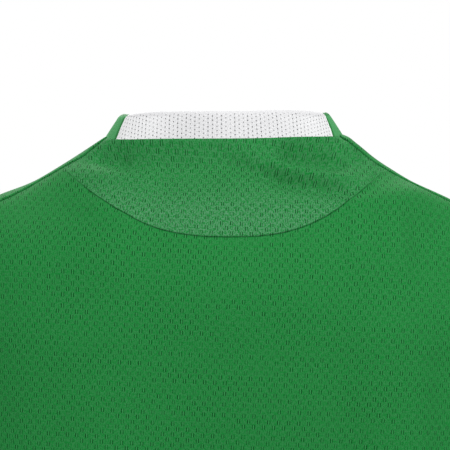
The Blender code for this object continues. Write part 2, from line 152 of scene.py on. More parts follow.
FOLDS = [
    # face, and in mm: from x, z, to x, z, half breadth, height (below 0 in a trough)
    (1, 115, -48, -115, -48, 28, -4.5),
    (1, 108, -13.5, 72, -17, 8, -4.6),
    (1, 108, -15.5, -24, -22.5, 10, -6.4),
    (1, 70, -36, -10, -36, 14, -5),
    (1, 8, -13.5, -58, -39, 8, -6.8),
    (1, -34, -30, -106, -47.5, 8, -6.8),
    (1, -24, -18, -104, -40, 6, 4.8),
    (1, -36, -13, -102, -18, 9, -11.6),
    (1, 108, -50, 62, -74, 14, 3),
    (1, -84, -58, -165, -50, 18, 7.4),
    (1, -82, -92, -150, -86, 28, 8.2),
    (1, 200, -100, 45, -90, 28, 6.2),
    (1, 75, -128, -115, -122, 34, 5.2),
    (1, 90, -340, -160, -340, 100, -26),
    (1, -86, -120, -96, -400, 16, -3.4),
    (1, -128, -110, -140, -360, 20, 3),
    (1, -168, -130, -165, -330, 14, -3.6),
    (1, 110, -150, 100, -420, 22, 1.4),
    (1, 150, -140, 146, -380, 16, 0.8),
    (1, 30, -300, 40, -900, 30, -6),
    (1, -45, -360, -60, -900, 34, 7),
    (1, -125, -420, -115, -900, 28, -7),
    (1, 100, -480, 118, -900, 30, 7),
    (1, 205, -300, 130, -440, 30, -6),
    (1, -190, -270, -130, -440, 30, -6),
    (-1, 60, -250, 50, -900, 32, 7.5),
    (-1, -20, -320, -15, -900, 30, -7.5),
    (-1, -85, -380, -90, -900, 26, 6.5),
    (-1, 130, -400, 125, -900, 26, -6.5),
    (-1, -150, -460, -150, -900, 26, -5.5),
    (-1, 185, -262, 85, -380, 30, -7),
    (-1, -187, -262, -100, -365, 30, -6.5),
    (-1, 110, -110, 40, -200, 26, -4),
    (-1, -112, -110, -50, -215, 26, -4),
    (-1, 180, -120, 160, -240, 18, -4.5),
    (-1, -180, -120, -163, -250, 18, -4.5),
]
SIDE_FADE = 0.045
FOLD_FADE = 0.3
FOLD_END = 0.25


def swept(start, leave, end, arrive, part):
    """A smooth change from start to end, with the slopes at which it leaves and arrives."""
    square = part * part
    cube = square * part
    return (
        start * (2 * cube - 3 * square + 1)
        + leave * (cube - 2 * square + part)
        + end * (3 * square - 2 * cube)
        + arrive * (cube - square)
    )


def smooth(table, column, at):
    """A smooth curve through one column of a table, at given values of its first column."""
    keys = np.array([row[0] for row in table])
    values = np.array([row[column] for row in table])
    slopes = np.gradient(values, keys)
    at = np.clip(at, keys[0], keys[-1])
    left = np.clip(np.searchsorted(keys, at) - 1, 0, len(keys) - 2)
    right = left + 1
    step = keys[right] - keys[left]
    part = (at - keys[left]) / step
    return swept(values[left], slopes[left] * step, values[right], slopes[right] * step, part)


def level_of(roll, face):
    """Heights of the torso at a roll and of its chest, with the shoulders taken as level."""
    chest = np.where(face > 0, CHEST_LEVEL[1], CHEST_LEVEL[-1])
    size = np.abs(roll)
    quarter = math.pi / 2
    cap = chest + (SHOULDER_LEVEL - chest) * np.cos(np.minimum(size, quarter))
    chest_part = np.clip((size - quarter) / (UNDERARM_ROLL - quarter), 0, 1)
    body_part = np.maximum((size - UNDERARM_ROLL) / (HEM_ROLL - UNDERARM_ROLL), 0)
    below = chest + (UNDERARM_LEVEL - chest) * chest_part
    below = below + (HEM_LEVEL - UNDERARM_LEVEL) * body_part
    return np.where(size < quarter, cap, below), chest


def crest_height(x):
    """Height of the shoulders' crest at a distance to the wearer's left, or right below 0."""
    away = np.abs(x)
    return smooth(CREST, 1, away) - np.where(x < 0, smooth(RIGHT_DROOP, 1, away), 0)


def plain_torso(turn, roll):
    """Points of the torso without folds, by the turn round it and the roll over the shoulder."""
    turn, roll = np.broadcast_arrays(np.asarray(turn, float), np.asarray(roll, float))
    face = np.where(roll >= 0, 1.0, -1.0)
    level, chest = level_of(roll, face)
    rolled = np.minimum(np.abs(roll), math.pi / 2)
    up = np.cos(rolled)
    out = np.sin(rolled)
    across = np.sin(turn)
    x = smooth(SECTIONS, 1, level) * across
    reach = np.where(face > 0, smooth(SECTIONS, 2, level), smooth(SECTIONS, 3, level))
    reach = reach * (1 - np.abs(across) ** PLAN_POWER) ** (1 / PLAN_POWER)
    rise = crest_height(x) - chest
    crest_reach = np.sqrt(smooth(CREST, 2, np.abs(x)) * rise)
    y = face * out * (reach * out * out + crest_reach * up * up)
    z = np.where(np.abs(roll) < math.pi / 2, chest + rise * up, level)
    return np.stack([x, y, z], axis=-1)


def unit(vectors):
    """The directions of vectors."""
    return vectors / np.linalg.norm(vectors, axis=-1, keepdims=True)


def torso_normal(turn, roll):
    """Outward directions of the plain torso, from two small steps on it."""
    turn, roll = np.broadcast_arrays(np.asarray(turn, float), np.asarray(roll, float))
    inward = np.where(turn < 0, -SMALL_ANGLE, SMALL_ANGLE)
    here = plain_torso(turn, roll)
    round_body = (here - plain_torso(turn - inward, roll)) / inward[..., None]
    down = plain_torso(turn, roll + SMALL_ANGLE) - plain_torso(turn, roll - SMALL_ANGLE)
    return unit(np.cross(round_body, down))


def ease(value):
    """A soft step from 0 to 1."""
    value = np.clip(value, 0, 1)
    return value * value * (3 - 2 * value)


def fold_height(points):
    """How far the folds lift the cloth at points of the torso."""
    seen = points[..., ::2]
    height = np.zeros(points.shape[:-1])
    for face, *sizes in FOLDS:
        x_from, z_from, x_to, z_to, breadth, rise = np.array(sizes) / 1000
        start = np.array((x_from, z_from))
        way = np.array((x_to, z_to)) - start
        part = (seen - start) @ way / (way @ way)
        away = seen - start - np.clip(part, 0, 1)[..., None] * way
        bell = np.exp(-np.sum(away * away, axis=-1) / (breadth * breadth))
        taper = ease(part / FOLD_FADE) * ease((1 - part) / FOLD_FADE)
        taper = FOLD_END + (1 - FOLD_END) * taper
        height += rise * bell * taper * ease(face * points[..., 1] / SIDE_FADE)
    return height


NECK_POWERS = {
    # face: powers of the neckline's fall from the wearer's left and right sides
    1: (0.66, 0.78),
    -1: (0.50, 0.50),
}
NECK_FADE = 0.006


def neck_curve(face, angle):
    """Turns and rolls of the neckline at angles round the neck, 0 at the wearer's left."""
    deepest = NECK_BACK_ROLL if face > 0 else NECK_FRONT_ROLL
    left = np.cos(angle) > 0
    drop = np.maximum(np.sin(angle), 0) ** np.where(left, *NECK_POWERS[face])
    rolls = face * np.arcsin(math.sin(deepest) * drop)
    level, _ = level_of(rolls, face)
    half_width = np.where(left, NECK_HALF_WIDTH[1], NECK_HALF_WIDTH[-1])
    return np.arcsin(half_width * np.cos(angle) / smooth(SECTIONS, 1, level)), rolls


def torso(turn, roll):
    """Points of the torso with its folds, which the collar's seam holds flat."""
    points = plain_torso(turn, roll)
    edge = plain_torso(*neck_curve(1, np.linspace(math.pi, 0, COLUMNS)))
    drop = np.interp(points[..., 0], edge[:, 0], edge[:, 2]) - points[..., 2]
    free = ease(drop / NECK_FADE)
    return points + torso_normal(turn, roll) * (fold_height(points) * free)[..., None]


def armhole_turn(roll):
    """Turn of the armhole seam at a roll: the side of the body at the underarm."""
    top = 1 - (SHOULDER_HALF_WIDTH / SECTIONS[-1][1]) ** PLAN_POWER
    opening = np.cos(math.pi / 2 * np.abs(roll) / UNDERARM_ROLL)
    share = top * np.maximum(opening, 0) ** (ARMHOLE_POWER * PLAN_POWER)
    return np.arcsin((1 - share) ** (1 / PLAN_POWER))


def turn_at(distance):
    """Turn at a distance from the middle, at shoulder level."""
    return np.arcsin(distance / SECTIONS[-1][1])


def seam_roll(distance, side):
    """Roll of a side's shoulder seam at a distance from the middle."""
    return np.radians(smooth(SEAM_ROLL[side], 1, distance))


def lengths(points, axis=0):
    """Lengths from each point of a line or grid to the next, along one of its axes."""
    return np.linalg.norm(np.diff(points, axis=axis), axis=-1)


def running(steps, axis=0):
    """Running totals of steps along an axis, from 0."""
    return np.insert(np.cumsum(steps, axis=axis), 0, 0, axis=axis)


def even_steps(curve, count, start, end):
    """Values from start to end that cut a curve on the torso into equal lengths."""
    fine = np.linspace(start, end, MEASURED_STEPS)
    run = running(lengths(plain_torso(*curve(fine))))
    return np.interp(np.linspace(0, run[-1], count + 1), run, fine)


def shoulder_line(side, x_from, x_to, count):
    """Turns and rolls along a side's shoulder seam."""
    x = np.linspace(x_from, x_to, count + 1)
    return turn_at(x), seam_roll(x, side)


def armhole_line(side, face, count=ARMHOLE_ROWS):
    """Turns and rolls down a side's armhole at the back or front, from shoulder to underarm."""
    start = seam_roll(SHOULDER_HALF_WIDTH, side)
    underarm = face * UNDERARM_ROLL
    rolls = even_steps(lambda roll: (armhole_turn(roll), roll), count, start, underarm)
    turns = armhole_turn(rolls)
    turns[0] = turn_at(SHOULDER_HALF_WIDTH)
    turns[-1] = math.pi / 2
    return turns, rolls


def side_line(face):
    """Turns and rolls down a side seam at the back or front, from the underarm to the hem."""
    rolls = face * np.linspace(UNDERARM_ROLL, HEM_ROLL, SIDE_ROWS + 1)
    return np.full(SIDE_ROWS + 1, math.pi / 2), rolls


def joined(*lines):
    """Several lines end to end, with each shared end kept once."""
    return [
        np.concatenate([first, *(values[1:] for values in rest)]) for first, *rest in zip(*lines)
    ]


def half_moon():
    """Turns and rolls of the yoke's lower seam, wearer's left to right."""
    chest = CHEST_LEVEL[1]
    halves = []
    for side, (end, power) in YOKE_ENDS.items():
        end_turn = turn_at(end)
        end_roll = seam_roll(end, side)
        end_level = plain_torso(side * end_turn, end_roll)[2]
        turns = end_turn * np.linspace(1, 0, COLUMNS // 2 + 1)
        x = end * np.sin(turns) / math.sin(end_turn)
        level = YOKE_LEVEL + (end_level - YOKE_LEVEL) * (x / end) ** power
        for _ in range(SEAM_PASSES):
            rise = crest_height(side * x) - chest
            rolls = np.arccos(np.clip((level - chest) / rise, 0, 1))
            x = np.abs(plain_torso(side * turns, rolls)[:, 0])
        rolls[0] = end_roll
        halves.append((side * turns, rolls))
    return [np.concatenate([left, right[-2::-1]]) for left, right in zip(*halves)]


def panel(top, bottom, edges, middle_rolls):
    """Turns and rolls of a panel between its four edges, with given rolls down its middle."""
    down = np.linspace(0, 1, len(middle_rolls))[:, None]
    across = np.linspace(1, 0, COLUMNS // 2 + 1)
    halves = []
    for side, edge in zip(SIDES, edges):
        shapes = []
        for line in (top, bottom):
            turns, rolls = (values[::side][:COLUMNS // 2 + 1] for values in line)
            spread = rolls[-1] - rolls[0]
            dip = (rolls - rolls[0]) / spread if abs(spread) > SAME_POINT else 1 - across**2
            shapes.append((turns / turns[0], dip))
        width, dip = ((1 - down) * high + down * low for high, low in zip(*shapes))
        rolls = edge[1][:, None] + (middle_rolls - edge[1])[:, None] * dip
        halves.append((side * edge[0][:, None] * width, rolls))
    return [np.concatenate([left, right[:, -2::-1]], axis=1) for left, right in zip(*halves)]


def middle_line(counts, rolls):
    """Rolls down the middle of a panel, from those at the ends of its stretches of rows."""
    ends = running(counts)
    return smooth(list(zip(ends, rolls)), 1, np.arange(ends[-1] + 1))


def flat_line(face):
    """Turns and rolls of the back's or front's hem, wearer's left to right."""
    across = np.linspace(1, -1, COLUMNS + 1)
    return across * math.pi / 2, np.full(COLUMNS + 1, face * HEM_ROLL)


def edge_runs(points):
    """Lengths along a grid's own lines from its top, bottom, left and right edges."""
    top = running(lengths(points))
    left = running(lengths(points, 1), 1)
    return top, top[-1] - top, left, left[:, -1:] - left


def relaid(layers, points, start, end):
    """Grid layers with lines at given distances from the first and last, and their own between."""
    top, bottom, _, _ = edge_runs(points)
    index = np.arange(len(top), dtype=float)
    kept = index[(top.min(axis=1) > start[-1]) & (bottom.min(axis=1) > end[-1])]
    places = np.array([
        np.concatenate([
            np.interp(start, run, index),
            kept,
            np.interp(run[-1] - np.array(end[::-1]), run, index),
        ])
        for run in top.T
    ]).T
    low = np.minimum(places.astype(int), len(index) - 2)
    part = places - low
    column = np.arange(places.shape[1])
    moved = []
    for layer in layers:
        share = part.reshape(part.shape + (1,) * (layer.ndim - 2))
        moved.append(layer[low, column] * (1 - share) + layer[low + 1, column] * share)
    return moved


SEAM_LINES = (0.0, 0.0003, 0.0007, 0.0012, 0.0020, 0.0032)
HEM_DEPTH = 0.024
NEEDLE_LINES = (0.0175, 0.0215)
HEM_LINES = (
    0.0, 0.0003, 0.0007, 0.0013, 0.0024, 0.0060, 0.0110, 0.0150,
    0.0167, 0.0171, 0.0175, 0.0179, 0.0183, 0.0195, 0.0207, 0.0211, 0.0215, 0.0219, 0.0223,
    0.0236, 0.0244, 0.0256,
)


def seamed(layers, bottom, form=plain_torso):
    """Grid layers with close lines along a piece's seams, and others along its bottom edge."""
    for end in (bottom, SEAM_LINES):
        layers = relaid(layers, form(*layers), SEAM_LINES, end)
        layers = [layer.swapaxes(0, 1) for layer in layers]
    return layers


CLOTH_DEPTH = 0.0009
ALLOWANCE_DEPTH = 0.0006
ALLOWANCE_WIDTH = 0.0070
ALLOWANCE_EDGE = 0.0010
HEM_EDGE = 0.0004
NEEDLE_DEPTH = 0.00022
NEEDLE_WIDTH = 0.00045
SEAM_PULL = 0.00035
SEAM_PULL_WIDTH = 0.0045
PUCKERS = [
    # length, share of the height, start
    (0.0074, 0.25, 0.3),
    (0.0118, 0.40, 1.9),
    (0.0197, 0.55, 4.1),
    (0.0430, 0.50, 2.6),
]
PUCKER_HEIGHT = 0.00028
PUCKER_WIDTH = 0.0080
PUCKER_SHIFT = 1.7


def rolled_edge(distance, radius):
    """How far a seam's edge rolls in at a distance from it."""
    inside = np.clip(radius - distance, 0, radius)
    turned = radius - np.sqrt(radius * radius - inside * inside)
    return turned + SEAM_PULL * np.exp(-(distance / SEAM_PULL_WIDTH) ** 2)


def puckered(run, distance, start):
    """Small uneven waves that the stitches draw into the cloth beside a seam."""
    wave = sum(
        share * np.sin(run * 2 * math.pi / length + phase + start)
        for length, share, phase in PUCKERS
    )
    return PUCKER_HEIGHT * wave * np.exp(-distance / PUCKER_WIDTH)


def within(distance, width, edge):
    """1 within a width and 0 beyond it, with a soft change over an edge on each side of it."""
    return ease((width + edge - distance) / (2 * edge))


SEAMS = {
    # kind: radius of the rolled edge, lift, share of puckers, breadth and depth of its painted
    # shade
    "moon": (0.0004, 0.0, 1.0, 0.0009, 0.48),
    "under": (0.0010, -0.0002, 0.5, 0.0025, 1.0),
    "over": (0.0010, 0.0006, 0.3, 0.0, 0.0),
    "neck": (0.0007, 0.0, 0.12, 0.0, 0.0),
    "hem": (0.0008, 0.0, 0.0, 0.0, 0.0),
}
NECK_HOLLOW = 0.0010
NECK_HOLLOW_REACH = 0.009
NECK_HOLLOW_FADE = 0.030
LIFT_WIDTH = 0.005
MOON_FADE = 0.11
MOON_END = 0.15


def sewn(points, normals, kinds):
    """Outer points drawn in at seams and hems, the cloth's depth, and the grooves' painted shade.
    """
    runs = edge_runs(points)
    from_side = np.minimum(runs[2], runs[3])
    drop, wave, shade = np.zeros((3, *points.shape[:2]))
    depth = np.full(points.shape[:2], CLOTH_DEPTH)
    for index, (distance, kind) in enumerate(zip(runs, kinds)):
        radius, lift, pucker, breadth, dark = SEAMS[kind]
        rolled = rolled_edge(distance, radius)
        if kind == "hem":
            rows = sum(np.exp(-((distance - line) / NEEDLE_WIDTH) ** 2) for line in NEEDLE_LINES)
            drop = np.maximum(drop, rolled - SEAM_PULL + NEEDLE_DEPTH * rows)
            depth += CLOTH_DEPTH * within(distance, HEM_DEPTH, HEM_EDGE)
            continue
        drawn = 1
        if kind == "moon":
            drawn = MOON_END + (1 - MOON_END) * ease(from_side / MOON_FADE)
        drop = np.maximum(drop, rolled * drawn)
        along = runs[2] if index < 2 else runs[0]
        wave += pucker * puckered(along, distance, PUCKER_SHIFT * index)
        wave += lift * np.exp(-(distance / LIFT_WIDTH) ** 2)
        depth += ALLOWANCE_DEPTH * within(distance, ALLOWANCE_WIDTH, ALLOWANCE_EDGE)
        if kind == "neck":
            far = distance / NECK_HOLLOW_REACH
            hollow = (far * np.exp(1 - far)) ** 2 * ease(from_side / NECK_HOLLOW_FADE)
            wave -= NECK_HOLLOW * hollow
        # Shade is painted into the colour along the seam line, where the groove lies in shadow.
        if breadth:
            shade = np.maximum(shade, dark * drawn * np.exp(-(distance / breadth) ** 4))
    outer = points + normals * (wave - drop)[..., None]
    return outer, np.minimum(depth, 2 * CLOTH_DEPTH), shade


# The rows of eyelets are spread by their height in the photograph, but by no less than a share of
# their length on the cloth. Their columns run upright on the shoulders.
PHOTO_UP = np.array((0.0, 0.0872, 0.9962))
LEAST_FALL = 0.45
LEAST_ACROSS = 0.2
UPRIGHT_ROLL = math.radians(42)
GRAIN_TILT = {1: math.radians(-2.4), -1: math.radians(0.5)}
ROLL_SAMPLES = 441
TURN_SAMPLES = 181


def grain(angles, face):
    """Each point's place across and down the flat cloth, in metres."""
    turn_keys = np.linspace(0, math.pi / 2, TURN_SAMPLES)
    roll_keys = np.linspace(-HEM_ROLL, HEM_ROLL, ROLL_SAMPLES)
    points = plain_torso(turn_keys[:, None], roll_keys[None, :])
    height = points @ PHOTO_UP
    steps = lengths(points, 1)
    falls = np.maximum(np.abs(np.diff(height, axis=1)), LEAST_FALL * steps)
    chest = np.argmin(np.abs(roll_keys - face * math.pi / 2))
    down, fallen = (
        (run - run[:, chest, None]) * face for run in (running(steps, 1), running(falls, 1))
    )
    fallen = fallen - height[:, chest, None] * face
    steps = lengths(points)
    level = np.maximum(steps**2 - np.diff(down, axis=0) ** 2, (LEAST_ACROSS * steps) ** 2)
    across = running(np.sqrt(level))
    turns, rolls = angles
    row = np.abs(turns) / turn_keys[-1] * (TURN_SAMPLES - 1)
    column = (rolls - roll_keys[0]) / (roll_keys[-1] - roll_keys[0]) * (ROLL_SAMPLES - 1)
    row_low = np.clip(row.astype(int), 0, TURN_SAMPLES - 2)
    column_low = np.clip(column.astype(int), 0, ROLL_SAMPLES - 2)
    row_part = row - row_low
    column_part = column - column_low
    found = []
    for table in (across, fallen):
        upper, lower = (
            table[at, column_low] * (1 - column_part) + table[at, column_low + 1] * column_part
            for at in (row_low, row_low + 1)
        )
        found.append(upper * (1 - row_part) + lower * row_part)
    distance = np.abs(plain_torso(turns, rolls)[..., 0])
    upright = np.interp(distance, points[:, chest, 0], across[:, chest])
    shared = ease((np.abs(rolls) - UPRIGHT_ROLL) / (math.pi / 2 - UPRIGHT_ROLL))
    u = (upright + (found[0] - upright) * shared) * np.sign(turns)
    v = found[1]
    cos, sin = math.cos(GRAIN_TILT[face]), math.sin(GRAIN_TILT[face])
    return u * cos + v * sin, v * cos - u * sin


def smooth_piece(name, points, faces, material):
    """A piece of points and faces, shaded smooth, which rides the jersey."""
    mesh = bpy.data.meshes.new(name)
    mesh.from_pydata(points.tolist(), [], faces)
    mesh.materials.append(material)
    mesh.shade_smooth()
    piece = bpy.data.objects.new(name, mesh)
    bpy.context.scene.collection.objects.link(piece)
    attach(piece, "root")
    return piece


SHARP_EDGE = math.radians(70)


def shell(name, outer, inner, place, shade, material):
    """A closed sheet from outer and inner grids, with its place on the flat cloth and painted
    shade.
    """
    rows, columns = outer.shape[:2]
    count = rows * columns
    index = np.arange(count).reshape(rows, columns)
    face = np.stack([index[:-1, :-1], index[1:, :-1], index[1:, 1:], index[:-1, 1:]], axis=-1)
    face = face.reshape(-1, 4)
    rim = np.concatenate([index[0, :-1], index[:-1, -1], index[-1, :0:-1], index[:0:-1, 0]])
    ahead = np.roll(rim, -1)
    sides = np.stack([rim, ahead, ahead + count, rim + count], axis=-1)
    faces = np.concatenate([face, face[:, ::-1] + count, sides]).tolist()
    points = np.concatenate([outer.reshape(-1, 3), inner.reshape(-1, 3)])
    piece = smooth_piece(name, points, faces, material)
    marks = np.stack([*place, shade], axis=-1).astype(np.float32).ravel()
    grain_layer = piece.data.attributes.new("grain", "FLOAT_VECTOR", "POINT")
    grain_layer.data.foreach_set("vector", np.tile(marks, 2))
    piece.data.set_sharp_from_angle(angle=SHARP_EDGE)
    return piece


class Yarn:
    """A value that changes over a cloth. Its sums and products add the nodes that work them out."""

    def __init__(self, finish, socket):
        self.finish = finish
        self.socket = socket

    def __add__(self, other):
        return self.finish.maths("ADD", self, other)

    def __sub__(self, other):
        return self.finish.maths("SUBTRACT", self, other)

    def __rsub__(self, other):
        return self.finish.maths("SUBTRACT", other, self)

    def __mul__(self, other):
        return self.finish.maths("MULTIPLY", self, other)

    def __truediv__(self, other):
        return self.finish.maths("DIVIDE", self, other)

    __radd__ = __add__
    __rmul__ = __mul__


class Finish:
    """A material whose nodes are added one at a time."""

    def __init__(self, name, **constants):
        self.material = bpy.data.materials.new(name)
        self.material.use_nodes = True
        self.tree = self.material.node_tree
        self.shader = self.tree.nodes["Principled BSDF"]
        for socket, value in constants.items():
            self.shader.inputs[socket.replace("_", " ")].default_value = value

    def node(self, kind, settings, sockets, output=0):
        """The output of a new node, after its settings are made and its sockets filled."""
        node = self.tree.nodes.new(kind)
        for key, value in settings.items():
            setattr(node, key, value)
        for key, value in sockets.items():
            self.fill(node.inputs[key], value)
        return Yarn(self, node.outputs[output])

    def fill(self, socket, value):
        """Links a value to a socket, or sets it."""
        if isinstance(value, Yarn):
            self.tree.links.new(value.socket, socket)
        else:
            socket.default_value = value

    def maths(self, operation, *values):
        """The result of one operation on values."""
        return self.node("ShaderNodeMath", {"operation": operation}, dict(enumerate(values)))

    def step(self, value, start, end):
        """0 below start and 1 above end, with a soft change between; start may be the higher."""
        sockets = {"Value": value, "From Min": start, "From Max": end}
        return self.node("ShaderNodeMapRange", {"interpolation_type": "SMOOTHSTEP"}, sockets)

    def noise(self, x, y, z=0.0, detail=1.0):
        """Soft noise round 0.5 at a point of three values."""
        point = self.node("ShaderNodeCombineXYZ", {}, {0: x, 1: y, 2: z})
        sockets = {"Vector": point, "Scale": 1.0, "Detail": detail}
        return self.node("ShaderNodeTexNoise", {}, sockets)

    def mixed(self, factor, first, second):
        """A colour between two colours."""
        sockets = {0: factor, 6: first, 7: second}
        return self.node("ShaderNodeMix", {"data_type": "RGBA"}, sockets, 2)

    def grain(self):
        """Places across and down the flat cloth, in metres, and the shade painted into seam
        grooves.
        """
        marks = self.node("ShaderNodeAttribute", {"attribute_name": "grain"}, {}, "Vector")
        return [self.node("ShaderNodeSeparateXYZ", {}, {0: marks}, part) for part in range(3)]

    def wear(self, colour, roughness, height, distance):
        """Gives the shader its colour, its roughness and the bumps of a height."""
        self.fill(self.shader.inputs["Base Color"], colour)
        self.fill(self.shader.inputs["Roughness"], roughness)
        sockets = {"Height": height, "Distance": distance, "Strength": 1.0}
        self.fill(self.shader.inputs["Normal"], self.node("ShaderNodeBump", {}, sockets))
        return self.material


GREEN = (0.0078, 0.1935, 0.0317, 1)
GREEN_RIB_HIGHLIGHT = (0.0500, 0.2900, 0.0900, 1)
GREEN_FLECK_AND_SHEEN = (0.2300, 0.4050, 0.3000, 1)
GREEN_SLIT_SHADE = (0.0010, 0.0280, 0.0050, 1)
GREEN_GROOVE_SHADE = (0.0003, 0.0420, 0.0075, 1)
EYELET_PITCH = 0.0076
EYELET_ROW = 0.0040
SLIT_PLACE = 0.86
SLIT_HALF_LENGTH = 1.25
LOOPS_TO_EYELET = 8
PAINTED_SHEEN_REACH = 0.040


def staggered(finish, u, v, pitch, depth):
    """Row and column of the nearest hole, and millimetres across and down from its middle."""
    row_place = v / depth
    row = finish.maths("FLOOR", row_place)
    column_place = u / pitch + finish.maths("FRACT", row * 0.5)
    column = finish.maths("FLOOR", column_place)
    across = (column_place - column - 0.5) * (pitch * 1000)
    return row, column, across, (row_place - row - 0.5) * (depth * 1000)


def eyelet_mesh(name, specks_and_sheen, painted_sheen_from):
    """Green knit with staggered pairs of short upright slits, uneven in depth as knitting is."""
    knit = Finish(name, Specular_IOR_Level=0.02)
    u, v, groove = knit.grain()
    row, column, across, along = staggered(knit, u, v, EYELET_PITCH, EYELET_ROW)
    # Each pair stands a little off its place, with a raised rib between its two slits.
    # The rib is painted lighter as a highlight.
    across = across + (knit.noise(column * 0.481, row * 0.923, detail=2.0) - 0.5) * 0.25
    beyond = knit.maths("MAXIMUM", knit.maths("ABSOLUTE", along) - SLIT_HALF_LENGTH, 0.0)
    out = knit.maths("ABSOLUTE", across)
    away = knit.maths("ABSOLUTE", out + beyond * 0.7 - SLIT_PLACE)
    slit = knit.step(away, 0.36, 0.16) * knit.step(beyond, 0.55, 0.10)
    rib = knit.step(out, 0.50, 0.15) * knit.step(beyond, 0.4, 0.0)
    # Rows, single pairs and the two slits of a pair open unevenly.
    rows_apart = knit.noise(u * 22.0, row * 5.3)
    single = knit.noise(column * 3.1, row * 7.7)
    lean = knit.noise(u * 35.0, row * 3.9, 8.0)
    strength = knit.step(rows_apart * 0.7 + single * 0.3, 0.34, 0.60)
    uneven = knit.maths("SIGN", across) * (knit.step(lean, 0.3, 0.7) - 0.5) * 0.4 + 0.90
    slit = slit * (strength * 0.55 + 0.45) * knit.maths("MINIMUM", uneven, 1.0)
    rib = rib * (strength * 0.8 + 0.2)
    # Pale specks, partly the yarn's own and partly painted sheen, which grows from a level down.
    wales = knit.noise(u * 1300.0, v * 420.0, detail=2.0)
    fibres = knit.noise(u * 800.0, v * 950.0, 3.0)
    painted_sheen = knit.step(v, painted_sheen_from, painted_sheen_from + PAINTED_SHEEN_REACH) * 0.45 + 0.55
    tone = knit.step(wales * 0.5 + fibres * 0.5, 0.38, 0.62) * specks_and_sheen * painted_sheen
    colour = knit.mixed(tone, GREEN, GREEN_FLECK_AND_SHEEN)
    # Painted highlight on the rib between the slits.
    colour = knit.mixed(rib * 0.5, colour, GREEN_RIB_HIGHLIGHT)
    # The slits are painted, not cut: dark green for the shade inside seen through them.
    colour = knit.mixed(slit, colour, GREEN_SLIT_SHADE)
    # Painted shade in the seam grooves.
    colour = knit.mixed(groove, colour, GREEN_GROOVE_SHADE)
    loops = knit.maths("SINE", u * (2 * math.pi * LOOPS_TO_EYELET / EYELET_PITCH))
    height = rib * 0.2 - slit * 0.3 + loops * 0.04 + tone * 0.2
    return knit.wear(colour, tone * -0.08 + groove * 0.3 + 0.66, height, 0.0004)


body_mesh = eyelet_mesh("green_eyelet_mesh", 0.11, -1.0)

# Hem stitches: spun thread with a fine twist.
THREAD_DARK = (0.008, 0.130, 0.028, 1)
THREAD_LIGHT = (0.020, 0.215, 0.055, 1)
STITCH_LENGTH = 0.0029
STITCH_GAP = 0.0004
THREAD_RADIUS = 0.00019
THREAD_ARCH = 1.1
THREAD_SINK = 0.35
THREAD_SIDES = 6
THREAD_STEPS = (0.0, 0.15, 0.5, 0.85, 1.0)
THREAD_RADII = (0.45, 0.9, 1.0, 0.9, 0.45)

thread = Finish("green_thread", Specular_IOR_Level=0.35, Sheen_Weight=0.1)
place = thread.node("ShaderNodeTexCoord", {}, {}, "Object")
twist = {"Vector": place, "Scale": 2600.0, "Detail": 2.0}
tone = thread.step(thread.node("ShaderNodeTexNoise", {}, twist), 0.35, 0.65)
colour = thread.mixed(tone, THREAD_DARK, THREAD_LIGHT)
green_thread = thread.wear(colour, tone * 0.1 + 0.55, tone, 0.00008)


def hem_stitches(name, outer, normals, from_hem):
    """Two rows of short threads along a hem, each thread dipping in at its ends."""
    step = np.array(THREAD_STEPS)
    arch = THREAD_RADIUS * (THREAD_ARCH * np.sin(math.pi * step) - THREAD_SINK)[:, None]
    thick = THREAD_RADIUS * np.array(THREAD_RADII)[:, None, None]
    angle = np.arange(THREAD_SIDES)[:, None] * (2 * math.pi / THREAD_SIDES)
    threads = []
    for needle in NEEDLE_LINES:
        row = np.argmin(np.abs(from_hem[:, 0] - needle))
        run = running(lengths(outer[row]))
        starts = np.arange(STITCH_GAP, run[-1] - STITCH_LENGTH, STITCH_LENGTH + STITCH_GAP)
        places = starts[:, None] + STITCH_LENGTH * step
        at, up = (
            np.stack([np.interp(places, run, values) for values in line[row].T], axis=-1)
            for line in (outer, normals)
        )
        up = unit(up[:, step.size // 2, None])
        side = np.cross(unit(at[:, -1:] - at[:, :1]), up)
        out = up[:, None] * np.cos(angle) + side[:, None] * np.sin(angle)
        threads.append((at + up * arch)[:, :, None] + out * thick)
    points = np.concatenate(threads)
    index = np.arange(points.size // 3).reshape(points.shape[:3])
    ahead = np.roll(index, -1, axis=2)
    walls = np.stack([index[:, :-1], ahead[:, :-1], ahead[:, 1:], index[:, 1:]], axis=-1)
    caps = np.concatenate([index[:, 0, ::-1], index[:, -1]])
    faces = walls.reshape(-1, 4).tolist() + caps.tolist()
    return smooth_piece(name, points.reshape(-1, 3), faces, green_thread)


def cut_piece(name, points, normals, kinds, place, material, stitches=None):
    """A sheet drawn in along its edges by their kinds, and its hem's stitches where named."""
    outer, depth, shade = sewn(points, normals, kinds)
    sheet = shell(name, outer, outer - normals * depth[..., None], place, shade, material)
    hem = stitches and hem_stitches(stitches, outer, normals, edge_runs(points)[1])
    return sheet, hem


outer_shoulders = [
    shoulder_line(side, YOKE_ENDS[side][0], SHOULDER_HALF_WIDTH, SHOULDER_ROWS) for side in SIDES
]
moon = half_moon()
moon_middle = moon[1][COLUMNS // 2]
back_edges = [
    joined(shoulder, armhole_line(side, 1), side_line(1))
    for side, shoulder in zip(SIDES, outer_shoulders)
]
back_middle = middle_line(
    [SHOULDER_ROWS, ARMHOLE_ROWS, SIDE_ROWS],
    [moon_middle, BACK_MIDDLE_ROLL, UNDERARM_ROLL + UNDERARM_DIP, HEM_ROLL],
)
back_angles = seamed(panel(moon, flat_line(1), back_edges, back_middle), HEM_LINES)
back_panel, back_hem = cut_piece(
    "back_panel_mesh", torso(*back_angles), torso_normal(*back_angles),
    ("moon", "hem", "under", "under"), grain(back_angles, 1), body_mesh, "back_hem_stitches",
)
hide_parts("back_panel")

# Back yoke: a half moon of the same eyelet mesh under the collar. Painted sheen makes its yarn
# paler, most towards the shoulder blades. Its top edge is turned in with the collar.
YOKE_ROWS = 6 * FINE
NECK_JOIN = {1: math.radians(10.0), -1: math.radians(14.0)}


